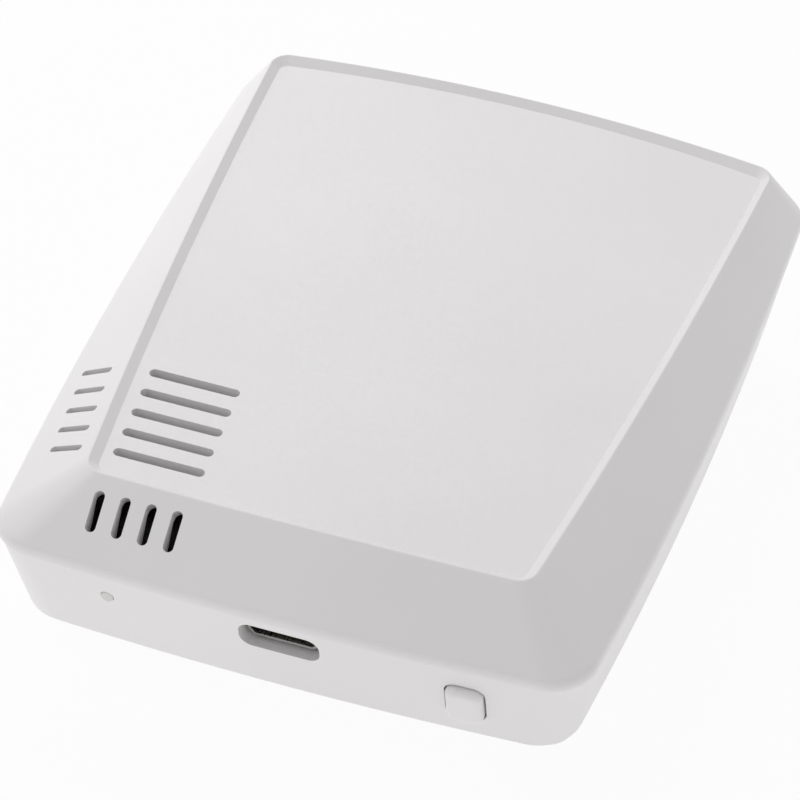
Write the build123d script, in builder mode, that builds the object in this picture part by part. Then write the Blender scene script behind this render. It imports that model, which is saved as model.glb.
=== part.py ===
from build123d import *

import math
import os

# A flat wall-type temperature and humidity logger, lying on its back.
# X runs along the port end, +Y points to the rear end, +Z out of the plateau.
# The origin is under the middle of the base. All sizes are in millimetres.

os.makedirs("parts", exist_ok=True)

# Overall form: the room round the battery bay, and the heights of the base and of the cover
side_room = 10.3
end_room = 13.35
base_height = 5.0
cover_height = 6.15
edge_inset = 2.2
wall = 1.8
wall_cut = 3 * wall
band = 0.85
shoulder_round = 1.2
edge_round = 0.6
reveal = 0.15
least_round = 0.5
pick_margin = 0.01

# Widest outline, where cover and rear shell meet
widest_side_bow = 1.15
widest_front_bow = 1.0
widest_rear_bow = 0.8
widest_front_radius = 4.8
widest_rear_radius = 4.0

# Lower edge of the side wall
edge_front_radius = 4.6
edge_rear_radius = 4.2

# Plateau of the cover: a shallow panel inside a thin rim, wider at the rear
rim_front_side = 8.85
rim_rear_side = 4.4
rim_front_margin = 8.1
rim_rear_margin = 3.2
rim_side_bow = 0.65
rim_front_bow = 0.3
rim_rear_bow = 2.1
rim_front_radius = 2.0
rim_rear_radius = 2.0
rim_width = 0.15
rim_round = 0.3
recess_depth = 0.62
recess_run = 0.9
plateau_wall = 1.8
slope_wall = 2.0

# Vent slots round the sensor corner
vent_width = 1.1
top_vent_length = 9.6
top_vent_pitch = 2.9
top_vent_count = 5
top_vent_side = 6.05
top_vent_front = 9.7
side_vent_length = 4.6
side_vent_width = 0.75
side_vent_turn = 12.0
side_vent_lift = 0.85
side_vent_step = 0.36
front_vent_length = 4.2
front_vent_pitch = 2.73
front_vent_count = 4
front_vent_side = 6.57
front_vent_lift = 1.17
chamber_wall = 1.0
chamber_margin = 1.2

# Clearances
fit = 0.2
seat_gap = 0.3

# Lip of the cover inside the rear shell
lip_wall = 1.0
lip_height = 1.2

# Battery bay and its door, in the base that stands below the side wall
cell_radius = 5.25
cell_length = 44.5
cell_round = 0.5
cell_nub_radius = 1.9
cell_nub_height = 1.2
cell_count = 4
cell_gap = 0.3
cell_clearance = 0.25
contact_gap = 2.0
contact_sheet = 0.4
contact_height = 7.6
contact_width = 7.6
contact_tail_width = 2.0
contact_stud_radius = 2.5
contact_stud_taper = 20.0
contact_leaf_width = 3.8
contact_leaf_reach = 3.2
bay_wall = 1.4
bay_roof = 1.0
ledge = 1.2
base_ring = 2.2
base_radius = 2.2
door_sheet = 1.4
door_sink = 0.2
door_radius = 1.0
rail_reach = 0.9
rail_sheet = 0.7
slide_gap = 0.1
grip_length = 12.0
grip_width = 0.9
grip_pitch = 1.9
grip_count = 5
grip_depth = 0.4
grip_margin = 8.0

# Boards
board_gap = 0.55
board_sheet = 1.0
lip_gap = 0.7
board_margin = 0.35
board_post_radius = 2.2
board_post_x = 8.0
board_rear_post_side = 12.0
board_post_margin = 7.8
board_pilot_radius = 0.85
board_screw_radius = 0.8
board_screw_length = 5.0
board_screw_head_radius = 1.7
board_screw_head = 1.1
thermal_slot = 1.2

# Corner posts and the screws that hold the cover
post_margin = 6.4
post_radius = 2.8
post_bore_radius = 1.25
post_head_radius = 2.2
post_seat = 4.15
cover_boss_radius = 2.4
cover_pilot_radius = 1.15
cover_pilot_depth = 3.4
screw_radius = 1.1
screw_head_radius = 2.0
screw_head = 1.5
screw_length = 6.9
drive_radius = 0.75
drive_depth = 0.8

# Port, light and key on the front wall
port_width = 7.5
port_height = 2.5
port_depth = 5.0
port_sheet = 0.28
port_corner = 0.6
port_chamfer = 0.7
port_sink = 1.4
port_opening_width = 8.4
port_opening_height = 3.5
port_opening_round = 1.4
tongue_width = 3.8
tongue_sheet = 0.65
tongue_length = 3.3
tongue_sink = 0.57
pin_width = 0.3
pin_sheet = 0.12
pin_pitch = 0.65
pin_count = 5
light_side = 13.9
light_drop = 3.25
light_radius = 0.65
light_clearance = 0.05
light_flange_radius = 1.2
light_flange = 0.6
light_proud = 0.12
led_width = 2.4
led_depth = 1.4
key_side = 13.1
key_width = 3.8
key_corner = 1.1
key_proud = 0.9
key_round = 0.75
key_flange_lap = 0.45
key_room = 0.625
key_flange = 0.7
key_stem = 1.8
key_stem_room = 2.175
key_stem_length = 0.9
switch_width = 5.0
switch_depth = 2.6
switch_drop = 3.4
plunger_width = 2.0
plunger_height = 1.2
plunger_round = 0.3
plunger_reach = 0.8
plunger_inside = 0.3
plunger_pocket = 1.1

# Parts on the boards
chip_ease = 0.15
radio_width = 18.0
radio_length = 24.0
radio_sheet = 0.8
radio_x = 9.0
radio_y = 15.5
shield_width = 15.6
shield_length = 15.2
shield_height = 2.2
shield_wall = 0.25
shield_round = 0.5
shield_offset = 3.0
controller_side = 9.0
controller_height = 1.2
controller_x = 4.0
controller_y = -12.0
memory_width = 5.0
memory_length = 6.0
memory_height = 1.4
memory_x = 17.0
memory_y = -13.0
crystal_width = 3.2
crystal_length = 7.0
crystal_height = 1.3
crystal_x = -6.0
crystal_y = -4.0
inductor_side = 5.0
inductor_height = 2.4
inductor_x = -14.0
inductor_y = 6.0
capacitor_width = 2.0
capacitor_length = 3.4
capacitor_height = 1.6
capacitor_pitch = 5.0
capacitor_count = 4
capacitor_x = -16.0
capacitor_y = 20.0
header_width = 6.0
header_depth = 1.6
sensor_board_width = 8.6
sensor_board_length = 12.4
sensor_board_sheet = 0.8
sensor_side = 2.5
sensor_height = 0.9
sensor_window = 0.5
sensor_gap = 0.65

# The battery bay, and the housing round it
cell_pitch = 2 * cell_radius + cell_gap
bay_width = cell_pitch * (cell_count - 1) + 2 * (cell_radius + cell_clearance)
bay_length = cell_length + 2 * (contact_gap + contact_sheet)
width = bay_width + 2 * side_room
length = bay_length + 2 * end_room
door_width = bay_width + 2 * ledge
base_width = door_width + 2 * (fit + base_ring)
base_length = bay_length + 2 * (ledge + fit + base_ring)
door_front_y = -base_length / 2
door_rear_y = bay_length / 2 + ledge

# Levels, from the floor up
door_z = door_sink + door_sheet
cell_z = door_z + cell_clearance + cell_radius
bay_top = cell_z + cell_radius + cell_clearance
board_z = bay_top + bay_roof + board_gap
board_top = board_z + board_sheet
parting_z = board_top + lip_gap
edge_z = base_height
floor_z = edge_z + wall
shoulder_z = parting_z + band
height = parting_z + cover_height
ceiling_z = height - recess_depth - plateau_wall
ceiling_rise = (ceiling_z - shoulder_z) / (height - shoulder_z)
post_top = board_z
post_head_z = post_top - post_seat
boss_z = post_top + fit
port_z = board_z - port_height / 2
light_z = parting_z - light_drop
key_z = (floor_z + board_z) / 2
key_stem_lift = board_z - key_z - key_stem_room
key_height = board_z - floor_z - 2 * (key_flange_lap + key_room)
header_height = ceiling_z - sensor_gap - sensor_height - sensor_board_sheet - board_top
sensor_board_z = board_top + header_height

# Places that follow from the housing
rim_front_width = width - 2 * rim_front_side
rim_rear_width = width - 2 * rim_rear_side
rim_front_y = -length / 2 + rim_front_margin
rim_rear_y = length / 2 - rim_rear_margin
rim_taper = (rim_rear_width - rim_front_width) / 2 / (rim_rear_y - rim_front_y)
top_vent_x = -rim_front_width / 2 + top_vent_side
top_vent_y = rim_front_y + top_vent_front
front_vent_x = -rim_front_width / 2 + front_vent_side
wall_tilt = math.atan2(edge_inset - reveal, parting_z - edge_z)
lip_outset = reveal + wall + fit + lip_height * math.tan(wall_tilt)
board_inset = lip_outset + lip_wall + board_margin
post_x = width / 2 - post_margin
post_y = length / 2 - post_margin
board_post_y = length / 2 - board_post_margin
board_rear_post_x = width / 2 - board_rear_post_side
light_x = -width / 2 + light_side
key_x = width / 2 - key_side


def between(low, high, share):
    """Value at a share of the way from low to high."""
    return low + (high - low) * share


def outline(front_width, rear_width, front_y, rear_y, side_bow, front_bow, rear_bow, front_r, rear_r, inset):
    """Four outward-bowed sides with rounded corners, drawn into the open sketch and set in all round."""
    front_width -= 2 * inset
    rear_width -= 2 * inset
    front_y += inset
    rear_y -= inset
    front_left = (-front_width / 2, front_y)
    front_right = (front_width / 2, front_y)
    rear_left = (-rear_width / 2, rear_y)
    rear_right = (rear_width / 2, rear_y)
    side_x = (front_width + rear_width) / 4 + side_bow
    side_y = (front_y + rear_y) / 2
    with BuildLine() as sides:
        ThreePointArc(front_left, (0, front_y - front_bow), front_right)
        ThreePointArc(front_right, (side_x, side_y), rear_right)
        ThreePointArc(rear_right, (0, rear_y + rear_bow), rear_left)
        ThreePointArc(rear_left, (-side_x, side_y), front_left)
    make_face(sides.edges())
    fillet(vertices().sort_by(Axis.Y)[:2], max(front_r - inset, least_round))
    fillet(vertices().sort_by(Axis.Y)[-2:], max(rear_r - inset, least_round))


def cover_outline(rise, inset=0.0):
    """Outline of the cover at a share of the way from its widest line up to the rim."""
    outline(
        between(width - 2 * widest_side_bow, rim_front_width, rise),
        between(width - 2 * widest_side_bow, rim_rear_width, rise),
        between(-length / 2 + widest_front_bow, rim_front_y, rise),
        between(length / 2 - widest_rear_bow, rim_rear_y, rise),
        between(widest_side_bow, rim_side_bow, rise),
        between(widest_front_bow, rim_front_bow, rise),
        between(widest_rear_bow, rim_rear_bow, rise),
        between(widest_front_radius, rim_front_radius, rise),
        between(widest_rear_radius, rim_rear_radius, rise),
        inset,
    )


def edge_outline(inset=0.0):
    """Outline of the lower edge of the side wall."""
    outline(
        width - 2 * (widest_side_bow + edge_inset),
        width - 2 * (widest_side_bow + edge_inset),
        -length / 2 + widest_front_bow + edge_inset,
        length / 2 - widest_rear_bow - edge_inset,
        widest_side_bow,
        widest_front_bow,
        widest_rear_bow,
        edge_front_radius,
        edge_rear_radius,
        inset,
    )


def front_wall(x, z):
    """Plane on the outside of the front wall at a place, its normal pointing out."""
    chord = width - 2 * widest_side_bow
    bow_radius = (chord**2 / 4 + widest_front_bow**2) / (2 * widest_front_bow)
    turn = math.asin(x / bow_radius)
    inset = reveal + (parting_z - z) * math.tan(wall_tilt)
    y = -length / 2 + inset + bow_radius * (1 - math.cos(turn))
    out = (
        math.sin(turn) * math.cos(wall_tilt),
        -math.cos(turn) * math.cos(wall_tilt),
        -math.sin(wall_tilt),
    )
    return Plane(origin=(x, y, z), x_dir=(math.cos(turn), math.sin(turn), 0), z_dir=out)


def slope_plane(top, bottom, x_dir):
    """Plane on a sloping side, halfway between a point on the rim and one on the shoulder."""
    top_point = Vector(*top)
    bottom_point = Vector(*bottom)
    out = Vector(*x_dir).cross(top_point - bottom_point)
    return Plane(origin=(top_point + bottom_point) * 0.5, x_dir=x_dir, z_dir=out)


# Front cover: the space inside it first, with the screw bosses and the sensor chamber's walls left standing
chamber_x = top_vent_x + top_vent_length / 2 + chamber_margin
chamber_y = top_vent_y + top_vent_pitch * (top_vent_count - 1) / 2 + vent_width + chamber_margin
with BuildPart() as cover_space:
    with BuildSketch(Plane.XY.offset(parting_z)):
        cover_outline(0, lip_outset + lip_wall)
    with BuildSketch(Plane.XY.offset(ceiling_z)):
        cover_outline(ceiling_rise, slope_wall)
    loft(ruled=True)
    with BuildSketch(Plane.XY.offset(parting_z)):
        with GridLocations(2 * post_x, 2 * post_y, 2, 2):
            Circle(cover_boss_radius)
        with Locations((chamber_x, chamber_y)):
            Rectangle(chamber_wall, length, align=(Align.CENTER, Align.MAX))
            Rectangle(width, chamber_wall, align=(Align.MAX, Align.CENTER))
    extrude(amount=ceiling_z - parting_z, mode=Mode.SUBTRACT)

vent_rows = [(row - (top_vent_count - 1) / 2) * top_vent_pitch for row in range(top_vent_count)]
side_vent_share = (top_vent_y - rim_front_y) / (rim_rear_y - rim_front_y)
rim_side_x = between(rim_front_width, rim_rear_width, side_vent_share) / 2
with BuildPart() as front_cover:
    with BuildSketch(Plane.XY.offset(parting_z)):
        cover_outline(0)
    extrude(amount=band)
    with BuildSketch(Plane.XY.offset(shoulder_z)):
        cover_outline(0)
    with BuildSketch(Plane.XY.offset(height)):
        cover_outline(1)
    loft(ruled=True)
    shoulder = front_cover.edges().filter_by_position(Axis.Z, shoulder_z - pick_margin, shoulder_z + pick_margin)
    fillet(shoulder, shoulder_round)
    fillet(front_cover.faces().sort_by(Axis.Z)[-1].edges(), rim_round)
    # panel sunk inside the rim, its walls sloping down to it
    with BuildSketch(Plane.XY.offset(height)):
        cover_outline(1, rim_width)
    with BuildSketch(Plane.XY.offset(height - recess_depth)):
        cover_outline(1, rim_width + recess_run)
    loft(ruled=True, mode=Mode.SUBTRACT)
    add(cover_space.part, mode=Mode.SUBTRACT)
    # lip that slips into the rear shell
    with BuildSketch(Plane.XY.offset(parting_z)):
        cover_outline(0, lip_outset)
    extrude(amount=-lip_height)
    with BuildSketch(Plane.XY.offset(parting_z)):
        cover_outline(0, lip_outset + lip_wall)
    extrude(amount=-lip_height, mode=Mode.SUBTRACT)
    # screw bosses below the parting line, with their pilot holes
    with BuildSketch(Plane.XY.offset(boss_z)):
        with GridLocations(2 * post_x, 2 * post_y, 2, 2):
            Circle(cover_boss_radius)
    extrude(amount=parting_z - boss_z)
    with BuildSketch(Plane.XY.offset(boss_z)):
        with GridLocations(2 * post_x, 2 * post_y, 2, 2):
            Circle(cover_pilot_radius)
    extrude(amount=cover_pilot_depth, mode=Mode.SUBTRACT)
    # vent slots in the plateau, each shifted to follow the slant of the rim
    with BuildSketch(Plane.XY.offset(height)):
        with Locations((top_vent_x, top_vent_y)):
            with Locations(*[(-rim_taper * row, row) for row in vent_rows]):
                SlotOverall(top_vent_length, vent_width)
    extrude(amount=ceiling_z - height, mode=Mode.SUBTRACT)
    # vent slots down the left slope, in line with those in the plateau and higher up towards the front
    left_slope = slope_plane(
        (-rim_side_x - rim_side_bow / 2, top_vent_y, height),
        (-width / 2, top_vent_y, shoulder_z),
        (0, -1, 0),
    )
    with BuildSketch(left_slope.offset(wall)):
        with Locations(*[(row, side_vent_lift + side_vent_step / top_vent_pitch * row) for row in vent_rows]):
            SlotOverall(side_vent_length, side_vent_width, rotation=90 - side_vent_turn)
    extrude(amount=-wall_cut, mode=Mode.SUBTRACT)
    # vent slots down the front slope
    front_slope = slope_plane(
        (front_vent_x, rim_front_y - rim_front_bow, height),
        (front_vent_x, -length / 2, shoulder_z),
        (1, 0, 0),
    )
    with BuildSketch(front_slope.offset(wall)):
        with Locations((0, front_vent_lift)):
            with GridLocations(front_vent_pitch, 1, front_vent_count, 1):
                SlotOverall(front_vent_length, vent_width, rotation=90)
    extrude(amount=-wall_cut, mode=Mode.SUBTRACT)
front_cover.part.label = "front_cover"
export_step(front_cover.part, "parts/front_cover.step")

# Rear shell: side wall, floor, battery bay and the base that the logger lies on
key_plane = front_wall(key_x, key_z)
light_plane = front_wall(light_x, light_z)
port_plane = front_wall(0, port_z)
with BuildPart() as rear_shell:
    with BuildSketch(Plane.XY.offset(edge_z)):
        edge_outline()
    with BuildSketch(Plane.XY.offset(parting_z)):
        cover_outline(0, reveal)
    loft(ruled=True)
    fillet(rear_shell.faces().sort_by(Axis.Z)[0].edges(), edge_round)
    with BuildSketch():
        RectangleRounded(base_width, base_length, base_radius)
    extrude(amount=floor_z)
    with BuildSketch(Plane.XY.offset(floor_z)):
        edge_outline(wall - (floor_z - edge_z) * math.tan(wall_tilt))
    with BuildSketch(Plane.XY.offset(parting_z)):
        cover_outline(0, reveal + wall)
    loft(ruled=True, mode=Mode.SUBTRACT)
    # battery bay
    with BuildSketch(Plane.XY.offset(edge_z)):
        Rectangle(bay_width + 2 * bay_wall, bay_length + 2 * bay_wall)
    extrude(amount=bay_top + bay_roof - edge_z)
    # corner posts and board posts
    with BuildSketch(Plane.XY.offset(edge_z)):
        with GridLocations(2 * post_x, 2 * post_y, 2, 2):
            Circle(post_radius)
    extrude(amount=post_top - edge_z)
    with BuildSketch(Plane.XY.offset(edge_z)):
        with Locations((0, -board_post_y)):
            with GridLocations(2 * board_post_x, 1, 2, 1):
                Circle(board_post_radius)
        with Locations((0, board_post_y)):
            with GridLocations(2 * board_rear_post_x, 1, 2, 1):
                Circle(board_post_radius)
    extrude(amount=board_z - edge_z)
    # hollow of the bay, and below it the open-ended rebate and grooves that the door slides in
    with BuildSketch():
        Rectangle(bay_width, bay_length)
    extrude(amount=bay_top, mode=Mode.SUBTRACT)
    with BuildSketch():
        with Locations((0, door_rear_y + fit)):
            Rectangle(door_width + 2 * fit, base_length, align=(Align.CENTER, Align.MAX))
    extrude(amount=door_z + slide_gap, mode=Mode.SUBTRACT)
    with BuildSketch(Plane.XY.offset(door_z - rail_sheet - slide_gap)):
        with Locations((0, door_rear_y + fit)):
            Rectangle(door_width + 2 * (rail_reach + fit), base_length, align=(Align.CENTER, Align.MAX))
    extrude(amount=rail_sheet + 2 * slide_gap, mode=Mode.SUBTRACT)
    # slits for the contacts' tails, through the roof of the bay
    with BuildSketch(Plane.XY.offset(bay_top)):
        with Locations((0, -bay_length / 2 + contact_sheet / 2)):
            with GridLocations(2 * cell_pitch, 1, 2, 1):
                Rectangle(contact_tail_width + 2 * fit, contact_sheet + 2 * fit)
        with Locations((0, bay_length / 2 - contact_sheet / 2)):
            with GridLocations(cell_pitch * (cell_count - 1) / 2, 1, 3, 1):
                Rectangle(contact_tail_width + 2 * fit, contact_sheet + 2 * fit)
    extrude(amount=bay_roof, mode=Mode.SUBTRACT)
    # screw passages in the corner posts
    with BuildSketch():
        with GridLocations(2 * post_x, 2 * post_y, 2, 2):
            Circle(post_bore_radius)
    extrude(amount=post_top, mode=Mode.SUBTRACT)
    with BuildSketch():
        with GridLocations(2 * post_x, 2 * post_y, 2, 2):
            Circle(post_head_radius)
    extrude(amount=post_head_z, mode=Mode.SUBTRACT)
    # pilot holes in the board posts
    with BuildSketch(Plane.XY.offset(board_z)):
        with Locations((0, -board_post_y)):
            with GridLocations(2 * board_post_x, 1, 2, 1):
                Circle(board_pilot_radius)
        with Locations((0, board_post_y)):
            with GridLocations(2 * board_rear_post_x, 1, 2, 1):
                Circle(board_pilot_radius)
    extrude(amount=-board_screw_length, mode=Mode.SUBTRACT)
    # openings in the front wall: port, light and key
    with BuildSketch(Plane(origin=(0, -length / 2, port_z), x_dir=(1, 0, 0), z_dir=(0, -1, 0))):
        RectangleRounded(port_opening_width, port_opening_height, port_opening_round)
    extrude(amount=-wall_cut, mode=Mode.SUBTRACT)
    with BuildSketch(Plane(origin=(light_x, -length / 2, light_z), x_dir=(1, 0, 0), z_dir=(0, -1, 0))):
        Circle(light_radius + light_clearance)
    extrude(amount=-wall_cut, mode=Mode.SUBTRACT)
    with BuildSketch(key_plane.offset(wall)):
        RectangleRounded(key_width + 2 * fit, key_height + 2 * fit, key_corner + fit)
    extrude(amount=-wall_cut, mode=Mode.SUBTRACT)
rear_shell.part.label = "rear_shell"
export_step(rear_shell.part, "parts/rear_shell.step")

# Battery door: a plate that slides out of the base at the port end, with a rail along each side
with BuildPart() as battery_door:
    with BuildSketch(Plane.XY.offset(door_sink)) as door_face:
        with Locations((0, door_front_y)):
            Rectangle(door_width, door_rear_y - door_front_y, align=(Align.CENTER, Align.MIN))
        fillet(door_face.vertices(), door_radius)
    extrude(amount=door_sheet)
    with BuildSketch(Plane.XY.offset(door_z)):
        with Locations((0, door_rear_y - door_radius)):
            Rectangle(
                door_width + 2 * rail_reach,
                door_rear_y - door_front_y - base_radius - door_radius,
                align=(Align.CENTER, Align.MAX),
            )
    extrude(amount=-rail_sheet)
    with BuildSketch(Plane.XY.offset(door_sink)):
        with Locations((0, door_front_y + grip_margin)):
            with GridLocations(1, grip_pitch, 1, grip_count):
                SlotOverall(grip_length, grip_width)
    extrude(amount=grip_depth, mode=Mode.SUBTRACT)
battery_door.part.label = "battery_door"
export_step(battery_door.part, "parts/battery_door.step")

# Cells, side by side and turned end for end
for cell_index in range(cell_count):
    cell_x = (cell_index - (cell_count - 1) / 2) * cell_pitch
    nub_side = 1 if cell_index % 2 else -1
    with BuildPart() as cell:
        cell_plane = Plane(
            origin=(cell_x, -nub_side * cell_length / 2, cell_z), x_dir=(1, 0, 0), z_dir=(0, nub_side, 0)
        )
        with BuildSketch(cell_plane):
            Circle(cell_radius)
        extrude(amount=cell_length - cell_nub_height)
        fillet(cell.edges(), cell_round)
        with BuildSketch(cell_plane.offset(cell_length - cell_nub_height)):
            Circle(cell_nub_radius)
        extrude(amount=cell_nub_height)
    cell.part.label = f"battery_cell_{cell_index + 1}"
    export_step(cell.part, f"parts/battery_cell_{cell_index + 1}.step")


def contact(name, end, spring_x, stud_x, tail_at):
    """Sheet contact against one end of the bay: a spring leaf and a stud where it has them, and a tail to the board.

    The end is -1 at the port end of the bay and 1 at the rear end.
    """
    places = [x for x in (spring_x, stud_x) if x is not None]
    plate_width = max(places) - min(places) + contact_width
    face_y = end * (bay_length / 2 - contact_sheet)
    with BuildPart() as sheet:
        inner_face = Plane(origin=(sum(places) / len(places), face_y, cell_z), x_dir=(end, 0, 0), z_dir=(0, -end, 0))
        with BuildSketch(inner_face):
            Rectangle(plate_width, contact_height)
        extrude(amount=-contact_sheet)
        with BuildSketch(Plane(origin=(tail_at, face_y, cell_z), x_dir=(end, 0, 0), z_dir=(0, -end, 0))):
            Rectangle(contact_tail_width, board_z - cell_z, align=(Align.CENTER, Align.MIN))
        extrude(amount=-contact_sheet)
        if stud_x is not None:
            with BuildSketch(Plane(origin=(stud_x, face_y, cell_z), x_dir=(end, 0, 0), z_dir=(0, -end, 0))):
                Circle(contact_stud_radius)
            extrude(amount=contact_gap, taper=contact_stud_taper)
        if spring_x is not None:
            leaf_plane = Plane(
                origin=(spring_x - contact_leaf_width / 2, face_y, cell_z), x_dir=(0, -end, 0), z_dir=(1, 0, 0)
            )
            low = -end * contact_leaf_reach
            lift = end * contact_sheet
            with BuildSketch(leaf_plane):
                with BuildLine():
                    Polyline(
                        (0, low),
                        (contact_gap, -lift),
                        (contact_gap, lift),
                        (contact_sheet, -low),
                        (contact_sheet / 2, -low - lift),
                        (contact_gap - contact_sheet, 0),
                        (0, low + 2 * lift),
                        close=True,
                    )
                make_face()
            extrude(amount=contact_leaf_width)
    sheet.part.label = name
    export_step(sheet.part, f"parts/{name}.step")


outer_x = cell_pitch * (cell_count - 1) / 2
inner_x = outer_x - cell_pitch
contact("contact_front_left", -1, -inner_x, -outer_x, -cell_pitch)
contact("contact_front_right", -1, outer_x, inner_x, cell_pitch)
contact("contact_rear_middle", 1, inner_x, -inner_x, 0)
contact("contact_rear_left", 1, -outer_x, None, -outer_x)
contact("contact_rear_right", 1, None, outer_x, outer_x)

# Main board, on the posts, shaped to the housing and notched round the corner posts
with BuildPart() as main_board:
    with BuildSketch(Plane.XY.offset(board_z)):
        cover_outline(0, board_inset)
        with GridLocations(2 * post_x, 2 * post_y, 2, 2):
            Circle(post_radius + 2 * fit, mode=Mode.SUBTRACT)
        with Locations((0, -board_post_y)):
            with GridLocations(2 * board_post_x, 1, 2, 1):
                Circle(board_screw_radius + fit, mode=Mode.SUBTRACT)
        with Locations((0, board_post_y)):
            with GridLocations(2 * board_rear_post_x, 1, 2, 1):
                Circle(board_screw_radius + fit, mode=Mode.SUBTRACT)
        with Locations((chamber_x + chamber_wall, top_vent_y)):
            SlotOverall(sensor_board_length, thermal_slot, rotation=90, mode=Mode.SUBTRACT)
    extrude(amount=board_sheet)
main_board.part.label = "main_board"
export_step(main_board.part, "parts/main_board.step")

# Port: a folded sleeve round an insulator with a tongue and five flat pins, under the front edge of the board
port_front = Plane(
    origin=(0, port_plane.origin.Y + port_sink, port_z), x_dir=(1, 0, 0), z_dir=(0, -1, 0)
)
insulator_depth = port_depth - tongue_length - tongue_sink
with BuildPart() as usb_shell:
    with BuildSketch(port_front) as sleeve:
        Rectangle(port_width, port_height)
        fillet(sleeve.vertices().group_by(Axis.Y)[-1], port_corner)
        chamfer(sleeve.vertices().group_by(Axis.Y)[0], port_chamfer)
        offset(amount=-port_sheet, mode=Mode.SUBTRACT)
    extrude(amount=-port_depth)
usb_shell.part.label = "usb_shell"
export_step(usb_shell.part, "parts/usb_shell.step")

with BuildPart() as usb_insulator:
    with BuildSketch(port_front.offset(-port_depth)) as plug:
        Rectangle(port_width, port_height)
        fillet(plug.vertices().group_by(Axis.Y)[-1], port_corner)
        chamfer(plug.vertices().group_by(Axis.Y)[0], port_chamfer)
        offset(amount=-port_sheet, mode=Mode.REPLACE)
    extrude(amount=insulator_depth)
    with BuildSketch(port_front.offset(insulator_depth - port_depth)):
        Rectangle(tongue_width, tongue_sheet)
    extrude(amount=tongue_length)
usb_insulator.part.label = "usb_insulator"
export_step(usb_insulator.part, "parts/usb_insulator.step")

with BuildPart() as usb_pins:
    with BuildSketch(port_front.offset(insulator_depth - port_depth)):
        with Locations((0, -tongue_sheet / 2)):
            with GridLocations(pin_pitch, 1, pin_count, 1):
                Rectangle(pin_width, pin_sheet, align=(Align.CENTER, Align.MAX))
    extrude(amount=tongue_length - pin_width)
usb_pins.part.label = "usb_pins"
export_step(usb_pins.part, "parts/usb_pins.step")

# Status light: a clear rod through the wall and the lamp behind it
light_start = light_plane.origin.Y - light_proud
light_seat = light_plane.origin.Y + wall + light_flange_radius * math.tan(wall_tilt) + light_clearance
rod_plane = Plane(origin=(light_x, light_start, light_z), x_dir=(1, 0, 0), z_dir=(0, 1, 0))
with BuildPart() as light_pipe:
    with BuildSketch(rod_plane):
        Circle(light_radius)
    extrude(amount=light_seat - light_start)
    with BuildSketch(rod_plane.offset(light_seat - light_start)):
        Circle(light_flange_radius)
    extrude(amount=light_flange)
    fillet(light_pipe.edges().sort_by(Axis.Y)[0], light_proud)
light_pipe.part.label = "light_pipe"
export_step(light_pipe.part, "parts/light_pipe.step")

led_y = light_seat + light_flange
led_drop = board_z - light_z + light_flange_radius
with BuildPart() as status_led:
    with BuildSketch(Plane.XY.offset(board_z)):
        with Locations((light_x, led_y)):
            Rectangle(led_width, led_depth, align=(Align.CENTER, Align.MIN))
    extrude(amount=-led_drop)
    fillet(status_led.edges().filter_by(Axis.Z), light_proud)
status_led.part.label = "status_led"
export_step(status_led.part, "parts/status_led.step")

# Key: a cap that stands a little proud of the wall, with a flange behind it and a stem to the switch
flange_seat = wall + seat_gap
with BuildPart() as wake_key:
    with BuildSketch(key_plane.offset(-flange_seat)):
        RectangleRounded(key_width, key_height, key_corner)
    extrude(amount=flange_seat + key_proud)
    fillet(wake_key.faces().sort_by(Axis.Y)[0].edges(), key_round)
    with BuildSketch(key_plane.offset(-flange_seat)):
        RectangleRounded(key_width + 2 * key_flange_lap, key_height + 2 * key_flange_lap, key_corner)
    extrude(amount=-key_flange)
    with BuildSketch(key_plane.offset(-flange_seat - key_flange)):
        with Locations((0, key_stem_lift)):
            Rectangle(key_stem, key_stem)
    extrude(amount=-key_stem_length)
wake_key.part.label = "wake_key"
export_step(wake_key.part, "parts/wake_key.step")

stem_end = key_plane.offset(-flange_seat - key_flange - key_stem_length).from_local_coords((0, key_stem_lift, 0))
plunger_front = Plane(origin=(key_x, stem_end.Y + fit, stem_end.Z), x_dir=(-1, 0, 0), z_dir=(0, 1, 0))
with BuildPart() as switch_plunger:
    with BuildSketch(plunger_front):
        RectangleRounded(plunger_width, plunger_height, plunger_round)
    extrude(amount=plunger_reach + plunger_inside)
switch_plunger.part.label = "switch_plunger"
export_step(switch_plunger.part, "parts/switch_plunger.step")

with BuildPart() as switch_body:
    with BuildSketch(Plane.XY.offset(board_z)):
        with Locations((key_x, plunger_front.origin.Y + plunger_reach)):
            Rectangle(switch_width, switch_depth, align=(Align.CENTER, Align.MIN))
    extrude(amount=-switch_drop)
    with BuildSketch(plunger_front.offset(plunger_reach)):
        Rectangle(plunger_width + 2 * seat_gap, plunger_height + 2 * seat_gap)
    extrude(amount=plunger_pocket, mode=Mode.SUBTRACT)
switch_body.part.label = "switch_body"
export_step(switch_body.part, "parts/switch_body.step")


def chip(name, size_x, size_y, size_z, x, y, z, count=1, pitch=1.0):
    """Flat package on a board, its upper edges eased, or a row of such packages along X."""
    with BuildPart() as package:
        with BuildSketch(Plane.XY.offset(z)):
            with Locations((x, y)):
                with GridLocations(pitch, 1, count, 1):
                    Rectangle(size_x, size_y)
        extrude(amount=size_z)
        chamfer(package.faces().filter_by(Axis.Z).group_by(Axis.Z)[-1].edges(), chip_ease)
    package.part.label = name
    export_step(package.part, f"parts/{name}.step")


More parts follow.
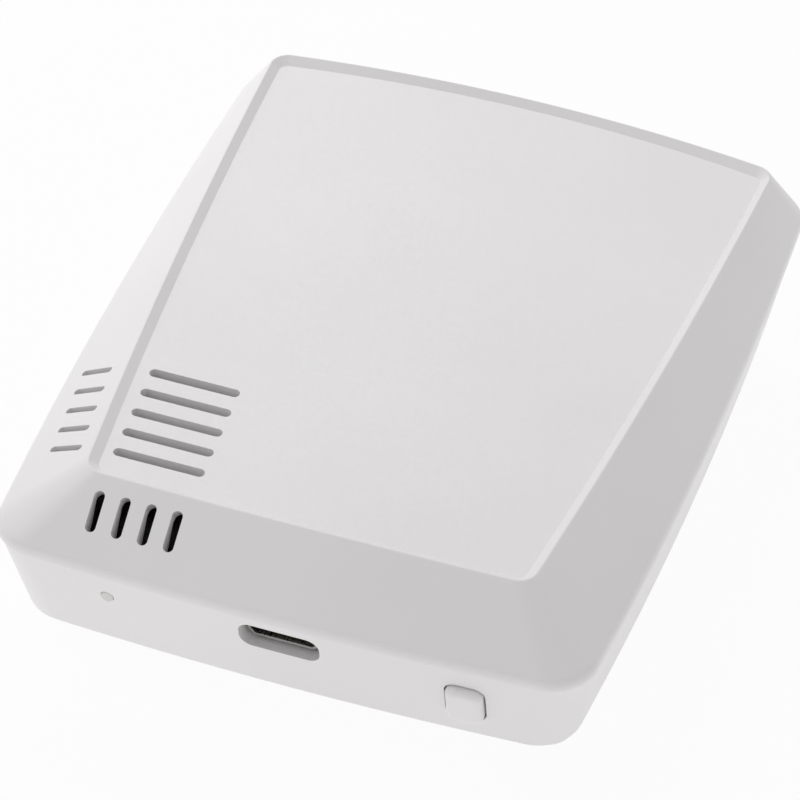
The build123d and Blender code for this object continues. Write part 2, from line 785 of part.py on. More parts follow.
chip("radio_board", radio_width, radio_length, radio_sheet, radio_x, radio_y, board_top)
chip("controller_chip", controller_side, controller_side, controller_height, controller_x, controller_y, board_top)
chip("memory_chip", memory_width, memory_length, memory_height, memory_x, memory_y, board_top)
chip("clock_crystal", crystal_width, crystal_length, crystal_height, crystal_x, crystal_y, board_top)
chip("power_inductor", inductor_side, inductor_side, inductor_height, inductor_x, inductor_y, board_top)
chip(
    "chip_capacitors",
    capacitor_width,
    capacitor_length,
    capacitor_height,
    capacitor_x,
    capacitor_y,
    board_top,
    capacitor_count,
    capacitor_pitch,
)

# Radio's tin shield, a drawn can with an open underside
shield_z = board_top + radio_sheet
with BuildPart() as radio_shield:
    with BuildSketch(Plane.XY.offset(shield_z)):
        with Locations((radio_x, radio_y - shield_offset)):
            RectangleRounded(shield_width, shield_length, shield_round)
    extrude(amount=shield_height)
    offset(amount=-shield_wall, openings=radio_shield.faces().sort_by(Axis.Z)[0], mode=Mode.REPLACE)
radio_shield.part.label = "radio_shield"
export_step(radio_shield.part, "parts/radio_shield.step")

# Sensor on a small board of its own under the vents, on a header
chip("sensor_header", header_width, header_depth, header_height, top_vent_x, top_vent_y, board_top)
with BuildPart() as sensor_board:
    with BuildSketch(Plane.XY.offset(sensor_board_z)):
        with Locations((top_vent_x, top_vent_y)):
            Rectangle(sensor_board_width, sensor_board_length)
    extrude(amount=sensor_board_sheet)
    fillet(sensor_board.edges().filter_by(Axis.Z), sensor_board_sheet)
sensor_board.part.label = "sensor_board"
export_step(sensor_board.part, "parts/sensor_board.step")

with BuildPart() as humidity_sensor:
    with BuildSketch(Plane.XY.offset(sensor_board_z + sensor_board_sheet)):
        with Locations((top_vent_x, top_vent_y)):
            Rectangle(sensor_side, sensor_side)
    extrude(amount=sensor_height)
    with BuildSketch(Plane.XY.offset(sensor_board_z + sensor_board_sheet + sensor_height)):
        with Locations((top_vent_x, top_vent_y)):
            Circle(sensor_window)
    extrude(amount=-sensor_window, mode=Mode.SUBTRACT)
humidity_sensor.part.label = "humidity_sensor"
export_step(humidity_sensor.part, "parts/humidity_sensor.step")

# Screws: four up through the corner posts into the cover, four down through the board into its posts
with BuildPart() as cover_screws:
    with BuildSketch(Plane.XY.offset(post_head_z)):
        with GridLocations(2 * post_x, 2 * post_y, 2, 2):
            Circle(screw_radius)
    extrude(amount=screw_length)
    with BuildSketch(Plane.XY.offset(post_head_z)):
        with GridLocations(2 * post_x, 2 * post_y, 2, 2):
            Circle(screw_head_radius)
    extrude(amount=-screw_head)
    with BuildSketch(Plane.XY.offset(post_head_z - screw_head)):
        with GridLocations(2 * post_x, 2 * post_y, 2, 2):
            RegularPolygon(drive_radius, 6)
    extrude(amount=drive_depth, mode=Mode.SUBTRACT)
cover_screws.part.label = "cover_screws"
export_step(cover_screws.part, "parts/cover_screws.step")

with BuildPart() as board_screws:
    for post_side, post_place in ((-1, board_post_x), (1, board_rear_post_x)):
        with BuildSketch(Plane.XY.offset(board_top)):
            with Locations((0, post_side * board_post_y)):
                with GridLocations(2 * post_place, 1, 2, 1):
                    Circle(board_screw_radius)
        extrude(amount=-board_screw_length)
        with BuildSketch(Plane.XY.offset(board_top)):
            with Locations((0, post_side * board_post_y)):
                with GridLocations(2 * post_place, 1, 2, 1):
                    Circle(board_screw_head_radius)
        extrude(amount=board_screw_head)
        with BuildSketch(Plane.XY.offset(board_top + board_screw_head)):
            with Locations((0, post_side * board_post_y)):
                with GridLocations(2 * post_place, 1, 2, 1):
                    RegularPolygon(drive_radius, 6)
        extrude(amount=-drive_depth, mode=Mode.SUBTRACT)
board_screws.part.label = "board_screws"
export_step(board_screws.part, "parts/board_screws.step")
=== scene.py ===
"""Looks, studio light and camera for a flat wall-type temperature and humidity logger."""

import logging
import math
from dataclasses import dataclass
from enum import Enum

import bpy
import numpy as np
from mathutils import Matrix, Vector


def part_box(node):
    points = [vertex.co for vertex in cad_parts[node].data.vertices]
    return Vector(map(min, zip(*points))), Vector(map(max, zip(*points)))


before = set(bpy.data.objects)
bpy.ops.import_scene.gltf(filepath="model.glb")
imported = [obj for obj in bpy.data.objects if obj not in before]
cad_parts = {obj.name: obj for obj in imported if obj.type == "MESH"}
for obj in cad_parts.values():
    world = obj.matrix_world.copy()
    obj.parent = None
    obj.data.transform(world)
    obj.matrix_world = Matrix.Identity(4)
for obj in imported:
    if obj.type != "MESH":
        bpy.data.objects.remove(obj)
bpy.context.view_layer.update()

Colour = tuple[float, float, float]
Point = tuple[float, float, float]
Range = tuple[float, float]
Socket = bpy.types.NodeSocket

MM = 0.001
PHOTO_SIDE_PX = 800
NOISE_RANGE = (0.3, 0.7)

log = logging.getLogger("logger_part")


class Axis(Enum):
    """A direction of the part's own frame, by its place in a coordinate triple."""

    X = 0
    Y = 1
    Z = 2


def shaded(colour: Colour, factor: float) -> Colour:
    """The colour with each channel times the factor."""
    return tuple(factor * channel for channel in colour)


class Graph:
    """A material's node tree, with short calls that add nodes and join them."""

    def __init__(self, name: str) -> None:
        """Starts a material of that name with one Principled shader in it."""
        self.material = bpy.data.materials.new(name)
        self.material.use_nodes = True
        self.nodes = self.material.node_tree.nodes
        self.links = self.material.node_tree.links
        self.shader = self.nodes["Principled BSDF"]
        self.place = self.nodes.new("ShaderNodeTexCoord").outputs["Object"]

    def set(self, **values: object) -> None:
        """Sets constants on the shader's own sockets.

        Args:
            values: Socket names with underscores for spaces, and their values.
        """
        for key, value in values.items():
            self.shader.inputs[key.replace("_", " ")].default_value = value

    def paint(self, colour: Socket) -> None:
        """Joins a colour to the shader's base colour."""
        self.links.new(colour, self.shader.inputs["Base Color"])

    def gloss(self, noise: Socket, roughness: float, swing: float) -> None:
        """Joins a noise to the shader's roughness.

        Args:
            noise: The noise that varies it.
            roughness: The middle value.
            swing: How far it goes to each side of the middle.
        """
        varied = self.spread(noise, to=(roughness - swing, roughness + swing))
        self.links.new(varied, self.shader.inputs["Roughness"])

    def noise(self, scale: float, detail: float = 2.0, stretch: Point = (1.0, 1.0, 1.0)) -> Socket:
        """Smooth noise in the part's own frame.

        Args:
            scale: Features per metre.
            detail: Number of finer layers.
            stretch: Factor on each axis, where a small one draws the noise out along it.

        Returns:
            The noise value, about 0.5 on average.
        """
        turn = self.nodes.new("ShaderNodeMapping")
        turn.inputs["Scale"].default_value = stretch
        self.links.new(self.place, turn.inputs["Vector"])
        noise = self.nodes.new("ShaderNodeTexNoise")
        noise.inputs["Scale"].default_value = scale
        noise.inputs["Detail"].default_value = detail
        self.links.new(turn.outputs["Vector"], noise.inputs["Vector"])
        return noise.outputs["Fac"]

    def cells(self, scale: float, distance: str = "EUCLIDEAN") -> Socket:
        """Distance to the nearest point of a random scatter.

        Args:
            scale: Points per metre.
            distance: How it is measured.

        Returns:
            The distance, in units of the scatter's spacing.
        """
        scatter = self.nodes.new("ShaderNodeTexVoronoi")
        scatter.distance = distance
        scatter.inputs["Scale"].default_value = scale
        self.links.new(self.place, scatter.inputs["Vector"])
        return scatter.outputs["Distance"]

    def spread(self, value: Socket, span: Range = NOISE_RANGE, to: Range = (0.0, 1.0)) -> Socket:
        """Maps a value's range to another one, clamped at both ends.

        Args:
            value: The value to map.
            span: The two values that become the ends of the new range.
            to: The new range.

        Returns:
            The mapped value.
        """
        ranged = self.nodes.new("ShaderNodeMapRange")
        for name, end in zip(("From Min", "From Max", "To Min", "To Max"), (*span, *to)):
            ranged.inputs[name].default_value = end
        self.links.new(value, ranged.inputs["Value"])
        return ranged.outputs["Result"]

    def blend(self, share: Socket, first: Colour | Socket, second: Colour | Socket) -> Socket:
        """Mixes two colours.

        Args:
            share: Share of the second colour.
            first: A colour, or a socket that carries one.
            second: A colour, or a socket that carries one.

        Returns:
            The mixed colour.
        """
        mix = self.nodes.new("ShaderNodeMix")
        mix.data_type = "RGBA"
        self.links.new(share, mix.inputs["Factor"])
        for socket, colour in ((mix.inputs[6], first), (mix.inputs[7], second)):
            if isinstance(colour, Socket):
                self.links.new(colour, socket)
            else:
                socket.default_value = (*colour, 1.0)
        return mix.outputs[2]

    def tinge(self, share: Socket, colour: Colour, factor: float) -> Socket:
        """Mixes a colour with a darker or brighter one of the same hue.

        Args:
            share: Share of the changed colour.
            colour: The plain colour.
            factor: What the changed colour's channels are multiplied by.

        Returns:
            The mixed colour.
        """
        return self.blend(share, colour, shaded(colour, factor))

    def along(self, axis: Axis) -> Socket:
        """The place along one axis, in metres."""
        split = self.nodes.new("ShaderNodeSeparateXYZ")
        self.links.new(self.place, split.inputs["Vector"])
        return split.outputs[axis.value]

    def away(self, centre: Point) -> Socket:
        """The distance from a point, in metres."""
        span = self.nodes.new("ShaderNodeVectorMath")
        span.operation = "DISTANCE"
        self.links.new(self.place, span.inputs[0])
        span.inputs[1].default_value = centre
        return span.outputs["Value"]

    def relief(self, height: Socket, depth: float, strength: float) -> None:
        """Joins a height to the shader's normal.

        Args:
            height: Height from 0 to 1.
            depth: Real depth of that range, in metres.
            strength: Share of the relief that shows.
        """
        bump = self.nodes.new("ShaderNodeBump")
        bump.inputs["Distance"].default_value = depth
        bump.inputs["Strength"].default_value = strength
        self.links.new(height, bump.inputs["Height"])
        self.links.new(bump.outputs["Normal"], self.shader.inputs["Normal"])


@dataclass(frozen=True)
class MouldedPlastic:
    """White housing plastic with the fine grain of a spark-eroded mould."""

    name: str
    colour: Colour
    shade: Colour
    roughness: float = 0.48
    swing: float = 0.05
    ior: float = 1.5
    drift: float = 45.0
    grain: float = 2600.0
    grain_detail: float = 3.0
    grain_depth: float = 0.02 * MM
    grain_strength: float = 0.25

    def build(self) -> bpy.types.Material:
        """Makes the material: a slow drift of tone, and grain in the relief and the gloss.

        Returns:
            The material.
        """
        graph = Graph(self.name)
        graph.paint(graph.blend(graph.spread(graph.noise(self.drift)), self.colour, self.shade))
        grain = graph.noise(self.grain, self.grain_detail)
        graph.gloss(grain, self.roughness, self.swing)
        graph.relief(grain, self.grain_depth, self.grain_strength)
        graph.set(IOR=self.ior)
        return graph.material


@dataclass(frozen=True)
class LightRod:
    """Milky plastic of the status light."""

    name: str
    colour: Colour
    roughness: float = 0.22
    swing: float = 0.04
    ior: float = 1.49
    clear_share: float = 0.2
    flow: float = 900.0
    flow_shade: float = 0.94
    grain: float = 1800.0

    def build(self) -> bpy.types.Material:
        """Makes the material: partly clear, with faint flow marks.

        Returns:
            The material.
        """
        graph = Graph(self.name)
        graph.paint(graph.tinge(graph.noise(self.flow), self.colour, self.flow_shade))
        graph.gloss(graph.noise(self.grain), self.roughness, self.swing)
        graph.set(IOR=self.ior, Transmission_Weight=self.clear_share)
        return graph.material


@dataclass(frozen=True)
class BoardMask:
    """Solder mask over copper tracks, with tinned pads."""

    name: str
    mask: Colour
    track: Colour
    pad: Colour
    roughness: float = 0.34
    swing: float = 0.06
    grain: float = 700.0
    tracks_per_metre: float = 420.0
    track_edge: Range = (0.3, 0.34)
    track_depth: float = 0.03 * MM
    track_strength: float = 0.4
    pads_per_track: float = 1.6
    pad_edge: Range = (0.16, 0.13)

    def build(self) -> bpy.types.Material:
        """Makes the material: square-cornered tracks under the mask, and a scatter of round pads.

        Returns:
            The material.
        """
        graph = Graph(self.name)
        tracks = graph.spread(graph.cells(self.tracks_per_metre, "CHEBYCHEV"), self.track_edge)
        pads = graph.spread(graph.cells(self.pads_per_track * self.tracks_per_metre), self.pad_edge)
        graph.paint(graph.blend(pads, graph.blend(tracks, self.track, self.mask), self.pad))
        graph.gloss(graph.noise(self.grain), self.roughness, self.swing)
        graph.relief(tracks, self.track_depth, self.track_strength)
        return graph.material


@dataclass(frozen=True)
class Metal:
    """Plated or bare sheet and bar, with fine drawing marks along one axis."""

    name: str
    colour: Colour
    tarnish: Colour
    roughness: float
    marks: Axis
    swing: float = 0.08
    clouds: float = 240.0
    cloud_detail: float = 3.0
    cloud_range: Range = (0.4, 0.75)
    grain: float = 5200.0
    grain_stretch: float = 0.04
    grain_depth: float = 0.006 * MM
    grain_strength: float = 0.4

    def build(self) -> bpy.types.Material:
        """Makes the material: metal with a drift of tarnish and marks drawn out along the axis.

        Returns:
            The material.
        """
        graph = Graph(self.name)
        stretch = tuple(self.grain_stretch if axis is self.marks else 1.0 for axis in Axis)
        marks = graph.noise(self.grain, stretch=stretch)
        clouds = graph.spread(graph.noise(self.clouds, self.cloud_detail), self.cloud_range)
        graph.paint(graph.blend(clouds, self.colour, self.tarnish))
        graph.gloss(marks, self.roughness, self.swing)
        graph.relief(marks, self.grain_depth, self.grain_strength)
        graph.set(Metallic=1.0)
        return graph.material


@dataclass(frozen=True)
class DarkPackage:
    """Black moulding compound of chips, switch and plug parts."""

    name: str
    colour: Colour
    roughness: float = 0.55
    swing: float = 0.08
    grain: float = 4200.0
    grain_detail: float = 3.0
    grain_range: Range = (0.35, 0.7)
    grain_bright: float = 1.8
    grain_depth: float = 0.015 * MM
    grain_strength: float = 0.5

    def build(self) -> bpy.types.Material:
        """Makes the material: near black, with a fine matte grain.

        Returns:
            The material.
        """
        graph = Graph(self.name)
        grain = graph.noise(self.grain, self.grain_detail)
        graph.paint(graph.tinge(graph.spread(grain, self.grain_range), self.colour, self.grain_bright))
        graph.gloss(grain, self.roughness, self.swing)
        graph.relief(grain, self.grain_depth, self.grain_strength)
        return graph.material


@dataclass(frozen=True)
class EndedPackage:
    """A ceramic body with tinned ends, along Y."""

    name: str
    colour: Colour
    ends: Colour
    middle_y: float
    half_body: float
    roughness: float = 0.425
    swing: float = 0.075
    gloss_grain: float = 1500.0
    grain: float = 2400.0
    grain_detail: float = 3.0
    grain_shade: float = 0.8

    def build(self) -> bpy.types.Material:
        """Makes the material: body in the middle, tin past the body's half length to each side.

        Returns:
            The material.
        """
        graph = Graph(self.name)
        reach = graph.nodes.new("ShaderNodeMath")
        reach.operation = "COMPARE"
        graph.links.new(graph.along(Axis.Y), reach.inputs[0])
        reach.inputs[1].default_value = self.middle_y
        reach.inputs[2].default_value = self.half_body
        grain = graph.spread(graph.noise(self.grain, self.grain_detail))
        body = graph.tinge(grain, self.colour, self.grain_shade)
        graph.paint(graph.blend(reach.outputs["Value"], self.ends, body))
        graph.gloss(graph.noise(self.gloss_grain), self.roughness, self.swing)
        return graph.material


@dataclass(frozen=True)
class CellSleeve:
    """Plain sleeve on a round cell, with a pale band at the plus end and bare steel at both ends."""

    name: str
    sleeve: Colour
    band: Colour
    steel: Colour
    low_y: float
    high_y: float
    plus_high: bool
    bare: float = 1.4 * MM
    band_length: float = 11.0 * MM
    soft: float = 0.05 * MM
    roughness: float = 0.3
    swing: float = 0.06
    grain: float = 800.0
    drift: float = 260.0
    drift_range: Range = (0.3, 0.8)
    band_shade: float = 0.93
    sleeve_shade: float = 0.9

    def build(self) -> bpy.types.Material:
        """Makes the material from the place along the cell.

        Returns:
            The material.
        """
        graph = Graph(self.name)
        place = graph.along(Axis.Y)
        plus, inward = (self.high_y, -1.0) if self.plus_high else (self.low_y, 1.0)
        line = plus + inward * self.band_length
        banded = graph.spread(place, (line - inward * self.soft, line + inward * self.soft))
        drift = graph.spread(graph.noise(self.drift), self.drift_range)
        pale = graph.tinge(drift, self.band, self.band_shade)
        dark = graph.tinge(drift, self.sleeve, self.sleeve_shade)
        low, high = self.low_y + self.bare, self.high_y - self.bare
        past_low = graph.spread(place, (low, low + self.soft))
        past_high = graph.spread(place, (high, high - self.soft))
        covered = graph.blend(past_low, self.steel, graph.blend(banded, pale, dark))
        graph.paint(graph.blend(past_high, self.steel, covered))
        graph.gloss(graph.noise(self.grain), self.roughness, self.swing)
        return graph.material


@dataclass(frozen=True)
class SensorPackage:
    """White sensor package with a dark membrane in its window."""

    name: str
    colour: Colour
    membrane: Colour
    centre: Point
    window: float
    window_soft: float = 1.05
    roughness: float = 0.475
    swing: float = 0.075
    gloss_grain: float = 1900.0
    grain: float = 2600.0
    grain_shade: float = 0.9

    def build(self) -> bpy.types.Material:
        """Makes the material from the distance to the window's middle.

        Returns:
            The material.
        """
        graph = Graph(self.name)
        rim = graph.spread(graph.away(self.centre), (self.window, self.window_soft * self.window))
        package = graph.tinge(graph.noise(self.grain), self.colour, self.grain_shade)
        graph.paint(graph.blend(rim, self.membrane, package))
        graph.gloss(graph.noise(self.gloss_grain), self.roughness, self.swing)
        return graph.material


@dataclass(frozen=True)
class SmoothFaces:
    """Joins a node's loose triangles and shades its curved faces smooth, up to an angle between neighbours."""

    name: str = "smooth_faces"
    join: float = 0.0005 * MM
    crease: float = math.radians(28.0)
    flat_weight: int = 100

    def tree(self) -> bpy.types.NodeTree:
        """Makes the geometry nodes once: merge by distance, smooth all faces, keep edges sharper than the crease.

        Returns:
            The node group.
        """
        if self.name in bpy.data.node_groups:
            return bpy.data.node_groups[self.name]
        group = bpy.data.node_groups.new(self.name, "GeometryNodeTree")
        for way in ("INPUT", "OUTPUT"):
            group.interface.new_socket("Geometry", in_out=way, socket_type="NodeSocketGeometry")
        nodes, links = group.nodes, group.links
        start, end = nodes.new("NodeGroupInput"), nodes.new("NodeGroupOutput")
        merge = nodes.new("GeometryNodeMergeByDistance")
        merge.inputs["Distance"].default_value = self.join
        faces = nodes.new("GeometryNodeSetShadeSmooth")
        edges = nodes.new("GeometryNodeSetShadeSmooth")
        edges.domain = "EDGE"
        angle = nodes.new("GeometryNodeInputMeshEdgeAngle")
        soft = nodes.new("FunctionNodeCompare")
        soft.operation = "LESS_THAN"
        links.new(angle.outputs["Unsigned Angle"], soft.inputs[0])
        soft.inputs[1].default_value = self.crease
        links.new(soft.outputs["Result"], edges.inputs["Shade Smooth"])
        for before, after in ((start, merge), (merge, faces), (faces, edges), (edges, end)):
            links.new(before.outputs["Geometry"], after.inputs["Geometry"])
        return group

    def add(self, holder: bpy.types.Object) -> None:
        """Puts the nodes on an object, and then weights its normals by face area so that flat faces stay flat.

        Args:
            holder: The object of a CAD node.
        """
        holder.modifiers.new(self.name, "NODES").node_group = self.tree()
        weighted = holder.modifiers.new("weighted_normals", "WEIGHTED_NORMAL")
        weighted.keep_sharp = True
        weighted.weight = self.flat_weight


def dress(node: str, material: bpy.types.Material) -> None:
    """Gives a CAD node its material and smooth curved faces.

    Args:
        node: The node's name.
        material: The material for all of it.
    """
    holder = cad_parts[node]
    holder.data.materials.clear()
    holder.data.materials.append(material)
    SmoothFaces().add(holder)
    log.info("dressed %s in %s", node, material.name)


@dataclass
class Housing:
    """The mouldings that are seen: cover, shell, battery door and key."""

    plastic: MouldedPlastic = MouldedPlastic("housing_white", (0.81, 0.793, 0.796), (0.785, 0.768, 0.771))
    nodes: tuple[str, ...] = ("front_cover", "rear_shell", "battery_door", "wake_key")

    def build(self) -> None:
        """Dresses the mouldings."""
        material = self.plastic.build()
        for node in self.nodes:
            dress(node, material)


@dataclass
class Port:
    """The data socket in the front wall."""

    sleeve: Metal = Metal("port_nickel", (0.62, 0.62, 0.61), (0.5, 0.49, 0.47), 0.3, Axis.Y)
    insulator: DarkPackage = DarkPackage("port_insulator", (0.025, 0.025, 0.027))
    pins: Metal = Metal("port_gold", (0.83, 0.6, 0.22), (0.7, 0.48, 0.16), 0.25, Axis.Y)

    def build(self) -> None:
        """Dresses the sleeve, the insulator and its pins."""
        dress("usb_shell", self.sleeve.build())
        dress("usb_insulator", self.insulator.build())
        dress("usb_pins", self.pins.build())


@dataclass
class StatusLight:
    """The light rod in the front wall and the lamp behind it."""

    rod: LightRod = LightRod("light_rod", (0.86, 0.86, 0.85))
    lamp: LightRod = LightRod("lamp_cap", (0.8, 0.78, 0.6), 0.3)

    def build(self) -> None:
        """Dresses the rod and the lamp."""
        dress("light_pipe", self.rod.build())
        dress("status_led", self.lamp.build())


@dataclass
class BatteryBay:
    """The cells and their sheet contacts."""

    cells: tuple[str, ...] = ("battery_cell_1", "battery_cell_2", "battery_cell_3", "battery_cell_4")
    contacts: tuple[str, ...] = (
        "contact_front_left",
        "contact_front_right",
        "contact_rear_middle",
        "contact_rear_left",
        "contact_rear_right",
    )
    sleeve: Colour = (0.05, 0.055, 0.06)
    band: Colour = (0.45, 0.45, 0.44)
    steel: Colour = (0.55, 0.54, 0.52)
    sheet: Metal = Metal("contact_nickel", (0.66, 0.65, 0.62), (0.52, 0.5, 0.46), 0.32, Axis.X)

    def build(self) -> None:
        """Dresses the cells, which lie turned end for end, and the contacts."""
        for place, node in enumerate(self.cells):
            low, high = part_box(node)
            plus_high = place % 2 == 1
            finish = CellSleeve(
                f"{node}_sleeve", self.sleeve, self.band, self.steel, low[1], high[1], plus_high
            )
            dress(node, finish.build())
        material = self.sheet.build()
        for node in self.contacts:
            dress(node, material)


@dataclass
class Electronics:
    """The boards and what stands on them."""

    mask: BoardMask = BoardMask(
        "board_mask", (0.012, 0.013, 0.013), (0.022, 0.024, 0.023), (0.62, 0.6, 0.55)
    )
    boards: tuple[str, ...] = ("main_board", "radio_board", "sensor_board")
    black: DarkPackage = DarkPackage("black_package", (0.018, 0.018, 0.019))
    packages: tuple[str, ...] = (
        "controller_chip",
        "memory_chip",
        "switch_body",
        "switch_plunger",
        "sensor_header",
        "power_inductor",
    )
    tin: Metal = Metal("tin_can", (0.7, 0.69, 0.66), (0.58, 0.56, 0.52), 0.3, Axis.X)
    cans: tuple[str, ...] = ("radio_shield", "clock_crystal")
    ceramic: Colour = (0.3, 0.2, 0.12)
    ceramic_end: Colour = (0.62, 0.6, 0.56)
    ceramic_end_length: float = 0.5 * MM
    sensor_white: Colour = (0.7, 0.7, 0.68)
    sensor_membrane: Colour = (0.05, 0.05, 0.05)
    sensor_window: float = 0.6 * MM

    def build(self) -> None:
        """Dresses the boards, packages, cans, capacitors and the sensor."""
        for finish, nodes in ((self.mask, self.boards), (self.black, self.packages), (self.tin, self.cans)):
            material = finish.build()
            for node in nodes:
                dress(node, material)
        dress("chip_capacitors", self.capacitor_finish().build())
        dress("humidity_sensor", self.sensor_finish().build())

    def capacitor_finish(self) -> EndedPackage:
        """The capacitors' finish, placed by their own box.

        Returns:
            The finish.
        """
        low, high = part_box("chip_capacitors")
        half_body = (high[1] - low[1]) / 2 - self.ceramic_end_length
        return EndedPackage(
            "capacitor_ceramic", self.ceramic, self.ceramic_end, (low[1] + high[1]) / 2, half_body
        )

    def sensor_finish(self) -> SensorPackage:
        """The sensor's finish, with its window in the middle of the upper face.

        Returns:
            The finish.
        """
        low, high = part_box("humidity_sensor")
        middle = ((low[0] + high[0]) / 2, (low[1] + high[1]) / 2, high[2])
        return SensorPackage(
            "sensor_package", self.sensor_white, self.sensor_membrane, middle, self.sensor_window
        )


@dataclass
class Fasteners:
    """The screws of the cover and of the main board."""

    zinc: Metal = Metal("screw_zinc", (0.56, 0.57, 0.58), (0.42, 0.42, 0.42), 0.34, Axis.Z)
    nodes: tuple[str, ...] = ("cover_screws", "board_screws")

    def build(self) -> None:
        """Dresses the screws."""
        material = self.zinc.build()
        for node in self.nodes:
            dress(node, material)


def toward(azimuth: float, elevation: float) -> Vector:
    """Unit direction from the object towards a place round it.

    Args:
        azimuth: Degrees round from the port end towards the key's side.
        elevation: Degrees above the horizon.

    Returns:
        The direction.
    """
    turn, lift = math.radians(azimuth), math.radians(elevation)
    return Vector((math.sin(turn) * math.cos(lift), -math.cos(turn) * math.cos(lift), math.sin(lift)))


@dataclass(frozen=True)
class Softbox:
    """A square soft lamp that faces the object."""

    name: str
    azimuth: float
    elevation: float
    power: float
    distance: float = 0.4
    side: float = 0.15

    def build(self, target: Vector) -> None:
        """Hangs the lamp.

        Args:
            target: The point that it faces.
        """
        lamp = bpy.data.lights.new(self.name, "AREA")
        lamp.shape = "SQUARE"
        lamp.size = self.side
        lamp.energy = self.power
        holder = bpy.data.objects.new(self.name, lamp)
        back = toward(self.azimuth, self.elevation)
        holder.location = target + back * self.distance
        holder.rotation_mode = "QUATERNION"
        holder.rotation_quaternion = back.to_track_quat("Z", "Y")
        holder.visible_camera = False
        bpy.context.scene.collection.objects.link(holder)


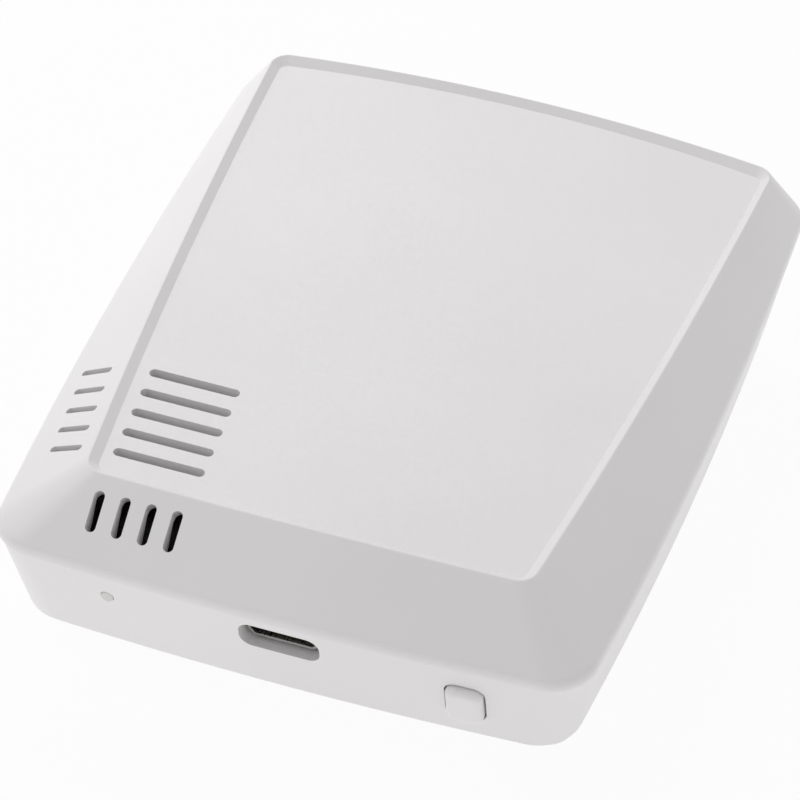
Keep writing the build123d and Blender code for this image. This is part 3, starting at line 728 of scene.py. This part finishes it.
@dataclass
class Studio:
    """Floor, surroundings, lamps and camera."""

    floor_half: float = 3.0
    floor_drop: float = 0.02 * MM
    floor_colour: Colour = (0.88, 0.88, 0.88)
    floor_white: float = 0.93
    floor_glow: float = 0.43
    ambient: float = 0.57
    white: Colour = (1.0, 1.0, 1.0)
    lamps: tuple[Softbox, ...] = (
        Softbox("lamp_rear", 205.0, 45.0, 0.331),
        Softbox("lamp_left", 280.0, 45.0, 0.175),
        Softbox("lamp_rear_low", 230.0, 25.0, 0.15),
        Softbox("lamp_left_low", 280.0, 25.0, 0.04),
    )
    azimuth: float = 19.92
    elevation: float = 44.16
    distance: float = 572.85 * MM
    focal_px: float = 5634.9
    sensor_mm: float = 36.0
    look_at: Point = (0.0, 0.0, 11.0 * MM)
    shift_right: float = -0.94 * MM
    shift_up: float = 0.49 * MM

    def build(self) -> None:
        """Sets the whole studio up."""
        self.lay_floor()
        self.light_world()
        for lamp in self.lamps:
            lamp.build(Vector(self.look_at))
        self.place_camera()
        bpy.context.scene.view_settings.view_transform = "Standard"

    def lay_floor(self) -> None:
        """Lays a square pale floor just under the base."""
        corners = np.array([[-1, -1], [1, -1], [1, 1], [-1, 1]], dtype=float) * self.floor_half
        corners = np.column_stack([corners, np.full(4, -self.floor_drop)])
        mesh = bpy.data.meshes.new("floor")
        mesh.from_pydata(corners.tolist(), [], [[0, 1, 2, 3]])
        mesh.materials.append(self.floor_material())
        floor = bpy.data.objects.new("floor", mesh)
        bpy.context.scene.collection.objects.link(floor)

    def floor_material(self) -> bpy.types.Material:
        """Makes the floor's material, see-through from below.

        To the eye it is nearly white and keeps the shadow. To light it glows a little, as a lit white sweep does.
        The glow isn't sampled as a lamp, because a lamp this near and this large leaves a seam on the underside.

        Returns:
            The material.
        """
        material = bpy.data.materials.new("floor_pale")
        material.use_nodes = True
        material.cycles.emission_sampling = "NONE"
        nodes, links = material.node_tree.nodes, material.node_tree.links
        matte = nodes.new("ShaderNodeBsdfDiffuse")
        matte.inputs["Color"].default_value = (*self.floor_colour, 1.0)
        glow = nodes.new("ShaderNodeEmission")
        glow.inputs["Strength"].default_value = self.floor_glow
        to_light = nodes.new("ShaderNodeAddShader")
        links.new(matte.outputs["BSDF"], to_light.inputs[0])
        links.new(glow.outputs["Emission"], to_light.inputs[1])
        white = nodes.new("ShaderNodeEmission")
        to_eye = nodes.new("ShaderNodeMixShader")
        to_eye.inputs["Fac"].default_value = self.floor_white
        links.new(matte.outputs["BSDF"], to_eye.inputs[1])
        links.new(white.outputs["Emission"], to_eye.inputs[2])
        lit = nodes.new("ShaderNodeMixShader")
        links.new(self.seen_directly(nodes, links), lit.inputs["Fac"])
        links.new(to_light.outputs["Shader"], lit.inputs[1])
        links.new(to_eye.outputs["Shader"], lit.inputs[2])
        clear = nodes.new("ShaderNodeBsdfTransparent")
        side = nodes.new("ShaderNodeNewGeometry")
        both = nodes.new("ShaderNodeMixShader")
        links.new(side.outputs["Backfacing"], both.inputs["Fac"])
        links.new(lit.outputs["Shader"], both.inputs[1])
        links.new(clear.outputs["BSDF"], both.inputs[2])
        links.new(both.outputs["Shader"], nodes["Material Output"].inputs["Surface"])
        return material

    @staticmethod
    def seen_directly(nodes: bpy.types.Nodes, links: bpy.types.NodeLinks) -> Socket:
        """One for rays that come from the camera, a reflection or a clear piece, and zero for light.

        Args:
            nodes: Nodes of the tree that it goes into.
            links: Links of that tree.

        Returns:
            The value.
        """
        path = nodes.new("ShaderNodeLightPath")
        total = path.outputs["Is Camera Ray"]
        for kind in ("Is Glossy Ray", "Is Transmission Ray"):
            more = nodes.new("ShaderNodeMath")
            more.operation = "MAXIMUM"
            links.new(total, more.inputs[0])
            links.new(path.outputs[kind], more.inputs[1])
            total = more.outputs["Value"]
        return total

    def light_world(self) -> None:
        """Surrounds the object with even grey light, which the camera sees as white."""
        world = bpy.data.worlds.new("surroundings")
        world.use_nodes = True
        nodes, links = world.node_tree.nodes, world.node_tree.links
        grey = nodes["Background"]
        grey.inputs["Color"].default_value = (*self.white, 1.0)
        grey.inputs["Strength"].default_value = self.ambient
        white = nodes.new("ShaderNodeBackground")
        white.inputs["Color"].default_value = (*self.white, 1.0)
        both = nodes.new("ShaderNodeMixShader")
        links.new(self.seen_directly(nodes, links), both.inputs["Fac"])
        links.new(grey.outputs["Background"], both.inputs[1])
        links.new(white.outputs["Background"], both.inputs[2])
        links.new(both.outputs["Shader"], nodes["World Output"].inputs["Surface"])
        bpy.context.scene.world = world

    def place_camera(self) -> None:
        """Puts the camera where the photograph was taken from."""
        back = toward(self.azimuth, self.elevation)
        right = Vector((0.0, 0.0, 1.0)).cross(back).normalized()
        up = back.cross(right)
        target = Vector(self.look_at) + right * self.shift_right + up * self.shift_up
        lens = bpy.data.cameras.new("camera")
        lens.sensor_width = self.sensor_mm
        lens.lens = self.focal_px * self.sensor_mm / PHOTO_SIDE_PX
        camera = bpy.data.objects.new("camera", lens)
        turn = Matrix((right, up, back)).transposed()
        camera.matrix_world = Matrix.Translation(target + back * self.distance) @ turn.to_4x4()
        bpy.context.scene.collection.objects.link(camera)
        bpy.context.scene.camera = camera


def main() -> None:
    """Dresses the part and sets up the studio."""
    logging.basicConfig(level=logging.INFO, format="%(message)s")
    for section in (Housing(), Port(), StatusLight(), BatteryBay(), Electronics(), Fasteners(), Studio()):
        section.build()
        log.info("built %s", type(section).__name__)


if __name__ == "__main__":
    main()
